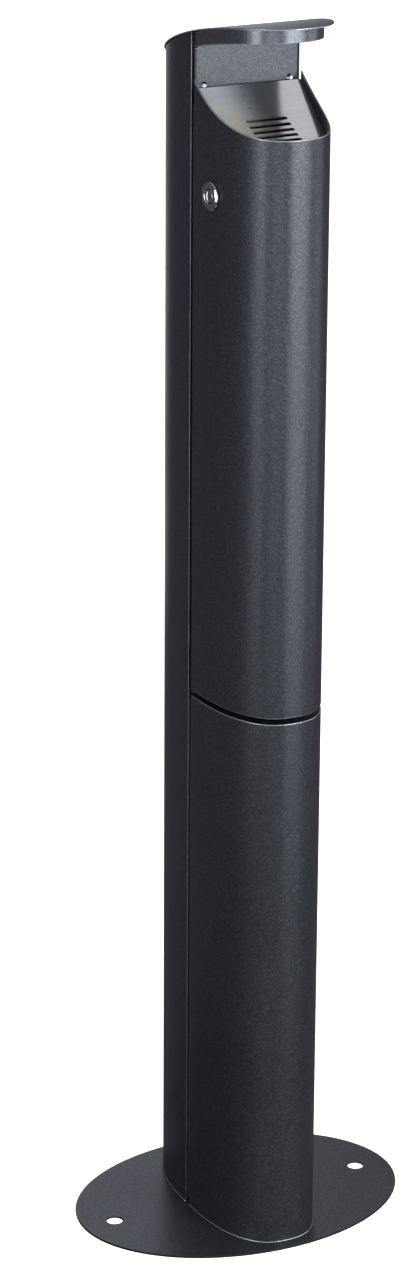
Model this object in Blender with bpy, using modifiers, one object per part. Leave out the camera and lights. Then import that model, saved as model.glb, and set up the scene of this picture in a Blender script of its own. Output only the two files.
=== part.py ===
"""Free-standing column ashtray bin: a sheet-steel column on an elliptical foot plate. The front of its upper half
is a locked door that carries the slotted ashtray insert and the ash bucket. Metres, +Z up, the door faces -Y and
the origin is the centre of the foot plate's underside."""

import math

import bmesh
import bpy
from mathutils import Matrix, Vector

# Column: a superellipse in plan, made of a rear shell and two front halves with a slit between them
COLUMN_WIDTH = 0.0919
COLUMN_DEPTH = 0.1856
SECTION_POWER = 2.47
SHEET = 0.0015
GAP = 0.0003
SHELL_EDGE_Y = 0.0027
FRONT_EDGE_Y = -0.0021
HALF_STEPS = 36

# Foot
PLATE_LENGTH = 0.282
PLATE_DEPTH = 0.2056
PLATE_THICKNESS = 0.0020
ANCHOR_HOLE_X = 0.1130
ANCHOR_HOLE_RADIUS = 0.0067
FOOT_THICKNESS = 0.004
FOOT_BOLT_X = 0.024
FOOT_BOLT_Y = 0.045
FOOT_HOLE_RADIUS = 0.0028
COUNTERSINK_RADIUS, COUNTERSINK_TOP = 0.0052, 0.0024
BOLT_RADIUS, BOLT_HEAD_RADIUS, BOLT_LENGTH = 0.0024, 0.0045, 0.011

# Heights of the front
LOWER_PANEL_TOP = 0.4551
SHELF_TOP = 0.4535
SHELF_THICKNESS = 0.002
DOOR_BOTTOM = 0.4598
DOOR_FLOOR_Z = 0.4605
MOUTH_NOSE_Z = 0.9167
MOUTH_RADIUS = 0.145

# Lid: a sheet bent about an axis along X, highest in front
LID_CREST_Y = -0.1118
LID_CREST_Z = 0.9992
LID_RADIUS = 0.444
LID_SHEET = 0.0012
LID_OVERHANG = 0.0011
SKIRT_HALF_WIDTH = 0.0436
SKIRT_HALF_DEPTH = 0.0805
SKIRT_END_Y = 0.008
SKIRT_DROP = 0.0117

# Back panel above the ashtray
PANEL_FACE_Y = 0.0002
PANEL_HALF_WIDTH = 0.0439
PANEL_BOTTOM = 0.923
PANEL_LIP = 0.002
PANEL_SCREW_X = 0.0369
PANEL_SCREW_Z = 0.9427
PANEL_CORNER = 0.0016
RAIL_LOW_Z, RAIL_HIGH_Z = 0.932, 0.954
RAIL_THICKNESS, RAIL_END_GAP = 0.002, 0.0020

# Ashtray insert: a concave sheet with five slots, open towards the door's front wall
INSERT_SHEET = 0.0012
INSERT_REAR_Y = -0.0026
INSERT_FRONT_Y = -0.062
INSERT_ARC_Y = -0.1173
INSERT_ARC_Z = 0.8978
INSERT_RADIUS = 0.171
INSERT_FLANGE_Z = 0.919
INSERT_LIP = 0.006
SLOT_COUNT = 5
SLOT_FIRST_Y = -0.0327
SLOT_PITCH = 0.00605
SLOT_LENGTH = 0.0350
SLOT_WIDTH = 0.0036
CROSSBAR_Y = -0.0041
CROSSBAR_LOW_Z, CROSSBAR_HIGH_Z = 0.909, 0.929
INSERT_SCREW_X, INSERT_SCREW_Z = 0.025, 0.9235

# Edge angles and hinges
ANGLE_INNER_X = 0.0364
ANGLE_OUTER_X = 0.0439
ANGLE_LEG = 0.011
STRIP_REACH = 0.012
HINGE_X = 0.0447
HINGE_Y = 0.0003
HINGE_HEIGHT = 0.060
HINGE_BOTTOMS = {"lower": 0.490, "upper": 0.810}
KNUCKLE_RADIUS = 0.0021
KNUCKLE_GAP = 0.00025
PIN_RADIUS = 0.0011
LEAF_THICKNESS = 0.001
LEAF_SINK = 0.00015
LEAF_CLEAR_X = 0.0421
BUFFER_RADIUS = 0.0034
BUFFER_HEIGHTS = {"lower": 0.480, "upper": 0.880}

# Lock on the door's left side
LOCK_Y = -0.0306
LOCK_Z = 0.8656
BEZEL_RADIUS = 0.011
BEZEL_FACE = 0.0032
BARREL_RADIUS = 0.008
BARREL_LENGTH = 0.016
PLUG_RADIUS = 0.0052
PLUG_GAP = 0.0002
PLUG_FACE, PLUG_TAIL = 0.0030, 0.001
KEY_SLOT_HALF_WIDTH, KEY_SLOT_HALF_HEIGHT, KEY_SLOT_BOTTOM = 0.0006, 0.0033, 0.0005
NUT_CORNER_RADIUS, NUT_INNER, NUT_OUTER = 0.0127, -0.0066, -0.0026
CAM_HALF_WIDTH, CAM_LOW, CAM_HOOK_REACH = 0.005, -0.007, -0.013
CAM_SCREW_HOLE, CAM_SCREW_RADIUS, CAM_SCREW_HEAD = 0.0026, 0.0024, 0.0042
CAM_THICKNESS = 0.0025
CAM_REAR = -0.0198
CAM_TIP = 0.0402
CAM_HOOK = 0.0362
KEEPER_Y, KEEPER_THICKNESS = 0.0045, 0.002
KEEPER_LOW_Z = 0.8408
RIVET_X, RIVET_HEIGHTS = 0.0394, (0.8455, 0.8550)
TAIL_THICKNESS = 0.0009

# Ash bucket with a wire handle, between two guides
GUIDE_INNER_X, GUIDE_OUTER_X = 0.0320, 0.0335
GUIDE_FRONT_Y, GUIDE_REAR_Y, GUIDE_HEIGHT = -0.058, -0.016, 0.010
BUCKET_HALF_WIDTH = 0.0315
BUCKET_MIDDLE_Y = -0.030
BUCKET_FRONT, BUCKET_REAR = 0.054, 0.022
BUCKET_SHEET = 0.001
BUCKET_TOP = 0.814
HANDLE_PIVOT_Y = -0.044
HANDLE_PIVOT_Z = 0.808
HANDLE_RADIUS = 0.0336
HANDLE_WIRE = 0.0015
HANDLE_REST_DEG = 42.0

COATED = ("dark_powder_coat", (0.045, 0.047, 0.056), 0.42, 0.6)
STAINLESS = ("brushed_stainless", (0.62, 0.62, 0.60), 0.28, 1.0)
ZINC = ("galvanised_steel", (0.48, 0.50, 0.52), 0.45, 1.0)
CHROME = ("chrome", (0.80, 0.80, 0.82), 0.08, 1.0)
STEEL = ("plated_fasteners", (0.60, 0.60, 0.58), 0.30, 1.0)
RUBBER = ("rubber", (0.02, 0.02, 0.02), 0.85, 0.0)


# ---------------------------------------------------------------- helpers


def collection(name):
    made = bpy.data.collections.new(name)
    bpy.context.scene.collection.children.link(made)
    return made


def material(look):
    name, colour, roughness, metallic = look
    made = bpy.data.materials.get(name)
    if made is None:
        made = bpy.data.materials.new(name)
        made.use_nodes = True
        shader = made.node_tree.nodes["Principled BSDF"]
        shader.inputs["Base Color"].default_value = (*colour, 1.0)
        shader.inputs["Roughness"].default_value = roughness
        shader.inputs["Metallic"].default_value = metallic
    return made


def add_object(name, data, look, matrix=None):
    """A part, or a cutter where look is None."""
    made = bpy.data.objects.new(name, data)
    made.matrix_world = matrix or Matrix.Identity(4)
    if look is None:
        CUTTERS.objects.link(made)
        made.hide_render = True
        made.display_type = "WIRE"
    else:
        PARTS.objects.link(made)
        data.materials.append(material(look))
    return made


def mesh_from(bm, name, smooth_angle=math.radians(35)):
    mesh = bpy.data.meshes.new(name)
    bm.to_mesh(mesh)
    bm.free()
    mesh.shade_smooth()
    mesh.set_sharp_from_angle(angle=smooth_angle)
    return mesh


def box(name, low, high, look):
    size = Vector(high) - Vector(low)
    middle = (Vector(high) + Vector(low)) / 2
    bm = bmesh.new()
    bmesh.ops.create_cube(bm, size=1.0)
    bmesh.ops.scale(bm, vec=size, verts=bm.verts)
    bmesh.ops.translate(bm, vec=middle, verts=bm.verts)
    return add_object(name, mesh_from(bm, name), look)


def cylinder(name, radius, start, end, look, segments=24):
    start, end = Vector(start), Vector(end)
    along = end - start
    matrix = Matrix.Translation((start + end) / 2) @ along.to_track_quat("Z", "Y").to_matrix().to_4x4()
    bm = bmesh.new()
    bmesh.ops.create_cone(bm, cap_ends=True, segments=segments, radius1=radius, radius2=radius, depth=along.length)
    bmesh.ops.transform(bm, matrix=matrix, verts=bm.verts)
    return add_object(name, mesh_from(bm, name), look)


def turned(name, profile, look, matrix=None, steps=24, closed=False):
    """A (radius, height) profile, run down its outer side, turned about the matrix's Z axis."""
    bm = bmesh.new()
    verts = [bm.verts.new((radius, 0, height)) for radius, height in profile]
    for first, second in zip(verts, verts[1:] + (verts[:1] if closed else [])):
        bm.edges.new((first, second))
    made = add_object(name, mesh_from(bm, name), look, matrix)
    screw = made.modifiers.new("turn", "SCREW")
    screw.steps = screw.render_steps = steps
    screw.use_merge_vertices = True
    screw.merge_threshold = 1e-5
    return made


def extruded(name, outline, low, high, look, matrix=None):
    """A flat outline in X and Y, filled and raised from low to high along Z, in the matrix's frame."""
    curve = bpy.data.curves.new(name + "_outline", "CURVE")
    curve.dimensions = "2D"
    curve.fill_mode = "BOTH"
    curve.extrude = (high - low) / 2
    spline = curve.splines.new("POLY")
    spline.points.add(len(outline) - 1)
    for point, (x, y) in zip(spline.points, outline):
        point.co = (x, y, 0, 1)
    spline.use_cyclic_u = True
    drawn = bpy.data.objects.new(name + "_outline", curve)
    CUTTERS.objects.link(drawn)
    drawn.location.z = (low + high) / 2
    bpy.context.view_layer.update()
    mesh = bpy.data.meshes.new_from_object(drawn.evaluated_get(bpy.context.evaluated_depsgraph_get()))
    bm = bmesh.new()
    bm.from_mesh(mesh)
    bmesh.ops.remove_doubles(bm, verts=bm.verts, dist=1e-6)
    bmesh.ops.transform(bm, matrix=(matrix or Matrix.Identity(4)) @ drawn.matrix_world, verts=bm.verts)
    bmesh.ops.recalc_face_normals(bm, faces=bm.faces)
    bpy.data.objects.remove(drawn)
    bpy.data.meshes.remove(mesh)
    return add_object(name, mesh_from(bm, name), look)


def thicken(made, thickness, offset=-1.0):
    solidify = made.modifiers.new("sheet", "SOLIDIFY")
    solidify.thickness = thickness
    solidify.offset = offset
    solidify.use_even_offset = True


def combine(made, other, operation):
    boolean = made.modifiers.new(operation.lower(), "BOOLEAN")
    boolean.operation = operation
    boolean.solver = "EXACT"
    boolean.object = other


def cut(made, *cutters):
    for cutter in cutters:
        combine(made, cutter, "DIFFERENCE")


def rivet(name, head_radius, head_height, shank_radius, length, matrix, look, tail_radius=0.0):
    """A domed head above its seat at height 0, with its shank below, and a flat tail where one is given."""
    angles = [math.radians(degrees) for degrees in (0, 30, 60)]
    profile = [(head_radius * math.sin(angle), head_height * math.cos(angle)) for angle in angles]
    profile += [(head_radius, 0), (shank_radius, 0)]
    if tail_radius:
        tail_start = TAIL_THICKNESS - length
        profile += [(shank_radius, tail_start), (tail_radius, tail_start), (tail_radius, -length)]
    else:
        profile += [(shank_radius, -length)]
    return turned(name, profile + [(0, -length)], look, matrix, steps=16)


def facing_front(x, y, z):
    """A frame at that point whose Z axis faces the front, -Y."""
    return Matrix.Translation((x, y, z)) @ Matrix.Rotation(math.radians(90), 4, "X")


def facing_rear(x, y, z):
    return Matrix.Translation((x, y, z)) @ Matrix.Rotation(math.radians(-90), 4, "X")


# ---------------------------------------------------------------- the column's section


def signed_power(value, exponent):
    return math.copysign(abs(value) ** exponent, value)


def section_angle(y, half_depth):
    """The superellipse's parameter, from -90 degrees in front to 90 degrees at the rear, at a depth y."""
    ratio = min(1.0, abs(y) / half_depth)
    return math.copysign(math.asin(ratio ** (SECTION_POWER / 2)), y)


def section_point(angle, half_width, half_depth):
    exponent = 2 / SECTION_POWER
    return (half_width * signed_power(math.cos(angle), exponent),
            half_depth * signed_power(math.sin(angle), exponent))


def half_section(edge_y, inset=0.0, half_width=COLUMN_WIDTH / 2, half_depth=COLUMN_DEPTH / 2):
    """Points of the outline beyond edge_y, counter-clockwise from above: the front where edge_y is negative."""
    side = -1 if edge_y < 0 else 1
    half_width, half_depth = half_width - inset, half_depth - inset
    start = abs(section_angle(edge_y, half_depth))
    points = []
    for step in range(HALF_STEPS + 1):
        x, y = section_point(start + (math.pi - 2 * start) * step / HALF_STEPS, half_width, half_depth)
        points.append((side * x, side * y))
    return points


def full_section(inset):
    seam = 1e-4
    return half_section(-seam, inset) + half_section(seam, inset)


def arc_height(y, centre_y, radius):
    """How far a circle has left its tangent at centre_y."""
    return radius - math.sqrt(radius ** 2 - (y - centre_y) ** 2)


def lid_underside(y):
    return LID_CREST_Z - arc_height(y, LID_CREST_Y, LID_RADIUS)


def mouth_edge(y):
    return MOUTH_NOSE_Z + arc_height(y, -COLUMN_DEPTH / 2, MOUTH_RADIUS)


def insert_surface(y):
    return INSERT_ARC_Z + arc_height(y, INSERT_ARC_Y, INSERT_RADIUS)


def sheet_wall(name, outline, low, high, look):
    """A sheet standing along an outline, its outer face on the outline; low and high are heights by y."""
    bm = bmesh.new()
    lower = [bm.verts.new((x, y, low(y))) for x, y in outline]
    edges = [bm.edges.new(pair) for pair in zip(lower, lower[1:])]
    raised = bmesh.ops.extrude_edge_only(bm, edges=edges)["geom"]
    for vert in (item for item in raised if isinstance(item, bmesh.types.BMVert)):
        vert.co.z = high(vert.co.y)
    for face in bm.faces:
        face.normal_update()
        middle = face.calc_center_median()
        if face.normal.x * middle.x + face.normal.y * middle.y < 0:
            face.normal_flip()
    made = add_object(name, mesh_from(bm, name), look)
    thicken(made, SHEET)
    return made


def draped_sheet(name, rows, thickness, look, offset):
    """A sheet bent only about X: rows of (y, z, half width), from front to rear."""
    bm = bmesh.new()
    bmesh.ops.create_grid(bm, x_segments=1, y_segments=len(rows) - 1, size=1.0)
    for vert in bm.verts:
        y, z, half_width = rows[round((vert.co.y + 1) / 2 * (len(rows) - 1))]
        vert.co = (math.copysign(half_width, vert.co.x), y, z)
    bmesh.ops.remove_doubles(bm, verts=bm.verts, dist=1e-6)
    made = add_object(name, mesh_from(bm, name), look)
    thicken(made, thickness, offset)
    return made


def section_rows(y_low, y_high, count, half_width, half_depth, height):
    first, last = section_angle(y_low, half_depth), section_angle(y_high, half_depth)
    rows = []
    for step in range(count + 1):
        x, y = section_point(first + (last - first) * step / count, half_width, half_depth)
        rows.append((y, height(y), abs(x) if 0 < step < count or abs(y) < half_depth - 1e-6 else 0.0))
    return rows


# ---------------------------------------------------------------- foot and column


def base_plate():
    segments = 72
    bm = bmesh.new()
    bmesh.ops.create_cone(bm, cap_ends=True, segments=segments, radius1=1, radius2=1, depth=1)
    bmesh.ops.scale(bm, vec=(PLATE_LENGTH / 2, PLATE_DEPTH / 2, PLATE_THICKNESS), verts=bm.verts)
    bmesh.ops.translate(bm, vec=(0, 0, PLATE_THICKNESS / 2), verts=bm.verts)
    plate = add_object("base_plate", mesh_from(bm, "base_plate"), COATED)
    bevel = plate.modifiers.new("edge", "BEVEL")
    bevel.width = 0.0004
    bevel.segments = 1
    for side in (-1, 1):
        x = side * ANCHOR_HOLE_X
        cut(plate, cylinder(f"anchor_cut_{side}", ANCHOR_HOLE_RADIUS, (x, 0, -0.01), (x, 0, 0.01), None, 32))
    for index, (x, y) in enumerate(foot_bolt_places()):
        profile = [(0, 0.01), (FOOT_HOLE_RADIUS, 0.01), (FOOT_HOLE_RADIUS, COUNTERSINK_TOP),
                   (COUNTERSINK_RADIUS, 0), (COUNTERSINK_RADIUS, -0.002), (0, -0.002)]
        cut(plate, turned(f"countersink_cut_{index}", profile, None, Matrix.Translation((x, y, 0))))


def foot_bolt_places():
    return [(x, y) for y in (-FOOT_BOLT_Y, FOOT_BOLT_Y) for x in (-FOOT_BOLT_X, FOOT_BOLT_X)]


def column_foot():
    low = PLATE_THICKNESS + GAP
    foot = extruded("column_foot", full_section(SHEET + GAP), low, low + FOOT_THICKNESS, COATED)
    for index, (x, y) in enumerate(foot_bolt_places()):
        cut(foot, cylinder(f"foot_cut_{index}", FOOT_HOLE_RADIUS, (x, y, 0), (x, y, 0.02), None, 16))
        profile = [(0, BOLT_LENGTH), (BOLT_RADIUS - GAP, BOLT_LENGTH), (BOLT_RADIUS, BOLT_LENGTH - GAP),
                   (BOLT_RADIUS, COUNTERSINK_TOP), (BOLT_HEAD_RADIUS, GAP), (0, GAP)]
        turned(f"foot_bolt_{index + 1}", profile, STEEL, Matrix.Translation((x, y, 0)), steps=16)


def column_walls():
    low = PLATE_THICKNESS + GAP
    sheet_wall("rear_shell", half_section(SHELL_EDGE_Y), lambda y: low, lambda y: lid_underside(y) - GAP, COATED)
    sheet_wall("lower_front_panel", half_section(FRONT_EDGE_Y), lambda y: low, lambda y: LOWER_PANEL_TOP, COATED)


def mid_shelf():
    extruded("mid_shelf", full_section(SHEET + GAP), SHELF_TOP - SHELF_THICKNESS, SHELF_TOP, COATED)


def joint_strips():
    """Flat strips that close the slit from inside and join the two halves of the column's lower part."""
    low = PLATE_THICKNESS + FOOT_THICKNESS + 2 * GAP
    high = SHELF_TOP - SHELF_THICKNESS - GAP
    for name, side in (("left", -1), ("right", 1)):
        xs = sorted((side * (ANGLE_OUTER_X - SHEET), side * ANGLE_OUTER_X))
        box(f"joint_strip_{name}", (xs[0], -STRIP_REACH, low), (xs[1], STRIP_REACH, high), COATED)


def angle_outline(side, edge_y, away):
    """An L in plan: one leg on the wall's inside, the other reaching inwards at the slit."""
    outer, inner = side * ANGLE_OUTER_X, side * ANGLE_INNER_X
    wall = side * (ANGLE_OUTER_X - SHEET)
    return [(inner, edge_y), (outer, edge_y), (outer, edge_y + away * ANGLE_LEG),
            (wall, edge_y + away * ANGLE_LEG), (wall, edge_y + away * SHEET), (inner, edge_y + away * SHEET)]


def edge_angles():
    rivet_cuts = [cylinder(f"rivet_cut_{z}", 0.0019, (-RIVET_X, 0, z), (-RIVET_X, 0.012, z), None, 16)
                  for z in RIVET_HEIGHTS]
    for name, side in (("left", -1), ("right", 1)):
        shell = extruded(f"shell_angle_{name}", angle_outline(side, SHELL_EDGE_Y, 1), SHELF_TOP + GAP,
                         RAIL_LOW_Z - 0.004, COATED)
        if side < 0:
            cut(shell, *rivet_cuts)
        extruded(f"door_angle_{name}", angle_outline(side, FRONT_EDGE_Y, -1),
                 DOOR_FLOOR_Z + SHEET + GAP, CROSSBAR_LOW_Z - 0.004, COATED)
    return rivet_cuts


# ---------------------------------------------------------------- head


def lid():
    half_width, half_depth = COLUMN_WIDTH / 2 + LID_OVERHANG, COLUMN_DEPTH / 2 + LID_OVERHANG
    rows = section_rows(-half_depth, half_depth, 2 * HALF_STEPS, half_width, half_depth, lid_underside)
    draped_sheet("lid_plate", rows, LID_SHEET, COATED, 1.0)
    outline = half_section(-1e-4, 0, SKIRT_HALF_WIDTH, SKIRT_HALF_DEPTH)
    outline = [(-SKIRT_HALF_WIDTH, SKIRT_END_Y)] + outline + [(SKIRT_HALF_WIDTH, SKIRT_END_Y)]
    sheet_wall("lid_skirt", outline, lambda y: lid_underside(y) - SKIRT_DROP, lambda y: lid_underside(y) - GAP,
               COATED)


def back_panel():
    """A flat panel with short bent lips, screwed to a rail across the column."""
    radius, inner = PANEL_CORNER, 0.0001
    rear_y = PANEL_FACE_Y + PANEL_LIP
    top = lid_underside(rear_y) - 0.0006
    outline = []
    for side, angles in ((-1, (180, 210, 240, 270)), (1, (270, 300, 330, 360))):
        for angle in (math.radians(a) for a in angles):
            outline.append((side * (PANEL_HALF_WIDTH - radius) + radius * math.cos(angle),
                            PANEL_FACE_Y + radius + radius * math.sin(angle)))
    outline = [(-PANEL_HALF_WIDTH, rear_y)] + outline + [(PANEL_HALF_WIDTH, rear_y)]
    wall = PANEL_HALF_WIDTH - SHEET
    outline += [(wall, rear_y), (wall, PANEL_FACE_Y + SHEET + inner), (wall - inner, PANEL_FACE_Y + SHEET)]
    outline += [(inner - wall, PANEL_FACE_Y + SHEET), (-wall, PANEL_FACE_Y + SHEET + inner), (-wall, rear_y)]
    panel = extruded("back_panel", outline, PANEL_BOTTOM, top, COATED)
    notch_x, notch_z = SKIRT_HALF_WIDTH - SHEET - 2 * GAP, lid_underside(rear_y) - SKIRT_DROP - 2 * GAP
    for side in (-1, 1):
        low_x, high_x = sorted((side * notch_x, side * COLUMN_WIDTH))
        cut(panel, box(f"panel_notch_{side}", (low_x, -0.01, notch_z), (high_x, 0.01, 1.1), None))
    rail_front = PANEL_FACE_Y + SHEET + GAP
    rail_end = ANGLE_OUTER_X - RAIL_END_GAP
    rail = box("panel_rail", (-rail_end, rail_front, RAIL_LOW_Z),
               (rail_end, rail_front + RAIL_THICKNESS, RAIL_HIGH_Z), COATED)
    for name, side in (("left", -1), ("right", 1)):
        x = side * PANEL_SCREW_X
        hole = cylinder(f"panel_screw_cut_{name}", 0.0022, (x, -0.01, PANEL_SCREW_Z), (x, 0.012, PANEL_SCREW_Z),
                        None, 16)
        cut(panel, hole)
        cut(rail, hole)
        rivet(f"panel_screw_{name}", 0.0036, 0.0021, 0.0019, 0.009,
              facing_front(x, PANEL_FACE_Y - GAP, PANEL_SCREW_Z), STEEL)


# ---------------------------------------------------------------- door


def door_shell(lock_frame):
    shell = sheet_wall("door_shell", half_section(FRONT_EDGE_Y), lambda y: DOOR_BOTTOM, mouth_edge, COATED)
    start, end = (lock_frame @ Vector((0, 0, z)) for z in (-0.008, 0.008))
    cut(shell, cylinder("lock_cut", BARREL_RADIUS + GAP, start, end, None))


def door_floor():
    outline = half_section(FRONT_EDGE_Y - GAP, SHEET + GAP)
    extruded("door_floor", outline, DOOR_FLOOR_Z, DOOR_FLOOR_Z + SHEET, ZINC)
    top = DOOR_FLOOR_Z + SHEET + GAP
    for name, side in (("left", -1), ("right", 1)):
        xs = sorted((side * GUIDE_INNER_X, side * GUIDE_OUTER_X))
        box(f"bucket_guide_{name}", (xs[0], GUIDE_FRONT_Y, top), (xs[1], GUIDE_REAR_Y, top + GUIDE_HEIGHT), ZINC)


def ashtray_insert():
    """The concave sheet with a flange down its rear, a short lip in front and slots across its middle."""
    half_width, half_depth = COLUMN_WIDTH / 2 - SHEET - GAP, COLUMN_DEPTH / 2 - SHEET - GAP
    rows = section_rows(INSERT_FRONT_Y, INSERT_REAR_Y, 22, half_width, half_depth, insert_surface)
    front_y, front_z, front_width = rows[0]
    rear_y, _, rear_width = rows[-1]
    rows = [(front_y - 0.0004, front_z - INSERT_LIP, front_width - 0.0006)] + rows
    rows += [(rear_y, INSERT_FLANGE_Z, rear_width)]
    insert = draped_sheet("ashtray_insert", rows, INSERT_SHEET, STAINLESS, -1.0)
    for index in range(SLOT_COUNT):
        cut(insert, slot_cutter(index, SLOT_FIRST_Y - index * SLOT_PITCH))
    bar = box("door_crossbar", (-ANGLE_OUTER_X, CROSSBAR_Y - SHEET, CROSSBAR_LOW_Z),
              (ANGLE_OUTER_X, CROSSBAR_Y, CROSSBAR_HIGH_Z), ZINC)
    for name, side in (("left", -1), ("right", 1)):
        x = side * INSERT_SCREW_X
        hole = cylinder(f"insert_screw_cut_{name}", 0.0019, (x, 0, INSERT_SCREW_Z), (x, -0.010, INSERT_SCREW_Z),
                        None, 16)
        cut(insert, hole)
        cut(bar, hole)
        rivet(f"insert_screw_{name}", 0.0030, 0.0013, 0.0016, 0.0050,
              facing_rear(x, INSERT_REAR_Y + GAP, INSERT_SCREW_Z), STEEL)


def slot_cutter(index, y):
    slope = math.asin((y - INSERT_ARC_Y) / INSERT_RADIUS)
    bm = bmesh.new()
    bmesh.ops.create_cone(bm, cap_ends=True, segments=16, radius1=SLOT_WIDTH / 2, radius2=SLOT_WIDTH / 2,
                          depth=0.008, matrix=Matrix.Rotation(math.radians(11.25), 4, "Z"))
    for vert in bm.verts:
        vert.co.x += math.copysign((SLOT_LENGTH - SLOT_WIDTH) / 2, vert.co.x)
    matrix = Matrix.Translation((0, y, insert_surface(y))) @ Matrix.Rotation(slope, 4, "X")
    return add_object(f"slot_cut_{index}", mesh_from(bm, "slot_cut"), None, matrix)


def hinges():
    for name, bottom in HINGE_BOTTOMS.items():
        third = HINGE_HEIGHT / 3
        spans = [(bottom + index * third + KNUCKLE_GAP / 2, bottom + (index + 1) * third - KNUCKLE_GAP / 2)
                 for index in range(3)]
        hole = cylinder(f"hinge_bore_{name}", PIN_RADIUS + 0.0001, (HINGE_X, HINGE_Y, bottom - 0.01),
                        (HINGE_X, HINGE_Y, bottom + HINGE_HEIGHT + 0.01), None, 16)
        frame_y = HINGE_Y + KNUCKLE_RADIUS - LEAF_THICKNESS - LEAF_SINK
        hinge_leaf(f"hinge_frame_leaf_{name}", frame_y, bottom, spans[::2], spans[1::2], hole)
        door_y = HINGE_Y - KNUCKLE_RADIUS + LEAF_SINK
        hinge_leaf(f"hinge_door_leaf_{name}", door_y, bottom, spans[1::2], spans[::2], hole)
        cylinder(f"hinge_pin_{name}", PIN_RADIUS, (HINGE_X, HINGE_Y, bottom - 0.001),
                 (HINGE_X, HINGE_Y, bottom + HINGE_HEIGHT + 0.001), STEEL, 16)


def hinge_leaf(name, low_y, bottom, own, other, hole):
    leaf = box(name, (ANGLE_INNER_X + 0.0005, low_y, bottom), (HINGE_X, low_y + LEAF_THICKNESS,
               bottom + HINGE_HEIGHT), STEEL)
    for index, (low, high) in enumerate(other):
        cut(leaf, box(f"{name}_notch_{index}", (LEAF_CLEAR_X, -0.01, low - KNUCKLE_GAP),
                      (HINGE_X + 0.005, 0.01, high + KNUCKLE_GAP), None))
    for index, (low, high) in enumerate(own):
        knuckle = cylinder(f"{name}_knuckle_{index}", KNUCKLE_RADIUS, (HINGE_X, HINGE_Y, low),
                           (HINGE_X, HINGE_Y, high), None, 16)
        combine(leaf, knuckle, "UNION")
    cut(leaf, hole)


def door_buffers():
    for name, z in BUFFER_HEIGHTS.items():
        x = -(ANGLE_INNER_X + ANGLE_OUTER_X) / 2
        cylinder(f"door_buffer_{name}", BUFFER_RADIUS, (x, SHELL_EDGE_Y - GAP, z), (x, FRONT_EDGE_Y + 0.0005, z),
                 RUBBER, 16)


# ---------------------------------------------------------------- lock


def lock_frame():
    """Its origin is on the door's outer face at the lock, Z points out of the door and Y points up."""
    half_width, half_depth = COLUMN_WIDTH / 2, COLUMN_DEPTH / 2
    x, y = section_point(section_angle(LOCK_Y, half_depth), half_width, half_depth)
    outward = Vector((-(x / half_width) ** (SECTION_POWER - 1) / half_width,
                      -(-y / half_depth) ** (SECTION_POWER - 1) / half_depth, 0)).normalized()
    up = Vector((0, 0, 1))
    matrix = Matrix((up.cross(outward), up, outward)).transposed().to_4x4()
    matrix.translation = (-x, LOCK_Y, LOCK_Z)
    return matrix


def lock(frame):
    bore = PLUG_RADIUS + PLUG_GAP
    body = [(bore, BEZEL_FACE), (0.0096, BEZEL_FACE), (BEZEL_RADIUS, 0.0022), (BEZEL_RADIUS, GAP),
            (BARREL_RADIUS, GAP), (BARREL_RADIUS, -BARREL_LENGTH), (bore, -BARREL_LENGTH)]
    turned("lock_body", body, CHROME, frame, closed=True)
    nut_outline = [(NUT_CORNER_RADIUS * math.cos(math.radians(60 * k)),
                    NUT_CORNER_RADIUS * math.sin(math.radians(60 * k))) for k in range(6)]
    nut = extruded("lock_nut", nut_outline, NUT_INNER, NUT_OUTER, STEEL, frame)
    start, end = (frame @ Vector((0, 0, z)) for z in (-0.02, 0.01))
    cut(nut, cylinder("nut_cut", BARREL_RADIUS + 0.0002, start, end, None))

    plug_end = -BARREL_LENGTH - PLUG_TAIL
    plug = turned("lock_plug", [(0, PLUG_FACE), (PLUG_RADIUS, PLUG_FACE), (PLUG_RADIUS, plug_end), (0, plug_end)],
                  CHROME, frame)
    slot_x, slot_y = KEY_SLOT_HALF_WIDTH, KEY_SLOT_HALF_HEIGHT
    slot_outline = [(-slot_x, -slot_y), (slot_x, -slot_y), (slot_x, slot_y), (-slot_x, slot_y)]
    cut(plug, extruded("key_slot_cut", slot_outline, KEY_SLOT_BOTTOM, 0.005, None, frame))
    start, end = (frame @ Vector((0, 0, z)) for z in (-0.011, -0.030))
    screw_cut = cylinder("cam_screw_cut", CAM_SCREW_HOLE, start, end, None, 16)
    cut(plug, screw_cut)

    cam_outline = [(-CAM_HALF_WIDTH, CAM_LOW), (CAM_HALF_WIDTH, CAM_LOW), (CAM_HALF_WIDTH, CAM_TIP),
                   (CAM_HOOK_REACH, CAM_TIP), (CAM_HOOK_REACH, CAM_HOOK), (-CAM_HALF_WIDTH, CAM_HOOK)]
    cam = extruded("lock_cam", cam_outline, CAM_REAR, CAM_REAR + CAM_THICKNESS, STEEL, frame)
    cut(cam, screw_cut)
    head = CAM_REAR - GAP
    profile = [(0, -0.012), (CAM_SCREW_RADIUS, -0.012), (CAM_SCREW_RADIUS, head), (CAM_SCREW_HEAD, head),
               (CAM_SCREW_HEAD, head - 0.0022), (CAM_SCREW_HEAD - 0.0006, head - 0.0028), (0, head - 0.0028)]
    turned("cam_screw", profile, STEEL, frame, steps=16)


def keeper(rivet_cuts):
    """The plate behind whose edge the cam's hook drops, riveted to the shell's left angle."""
    plate = box("lock_keeper", (-ANGLE_OUTER_X + 0.0020, KEEPER_Y, KEEPER_LOW_Z),
                (-0.0245, KEEPER_Y + KEEPER_THICKNESS, LOCK_Z - 0.0057), ZINC)
    cut(plate, *rivet_cuts)
    for index, z in enumerate(RIVET_HEIGHTS):
        rivet(f"keeper_rivet_{index + 1}", 0.0030, 0.0011, 0.0016, 0.0053, facing_front(-RIVET_X,
              SHELL_EDGE_Y - GAP, z), STEEL, tail_radius=0.0026)


# ---------------------------------------------------------------- bucket


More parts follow.
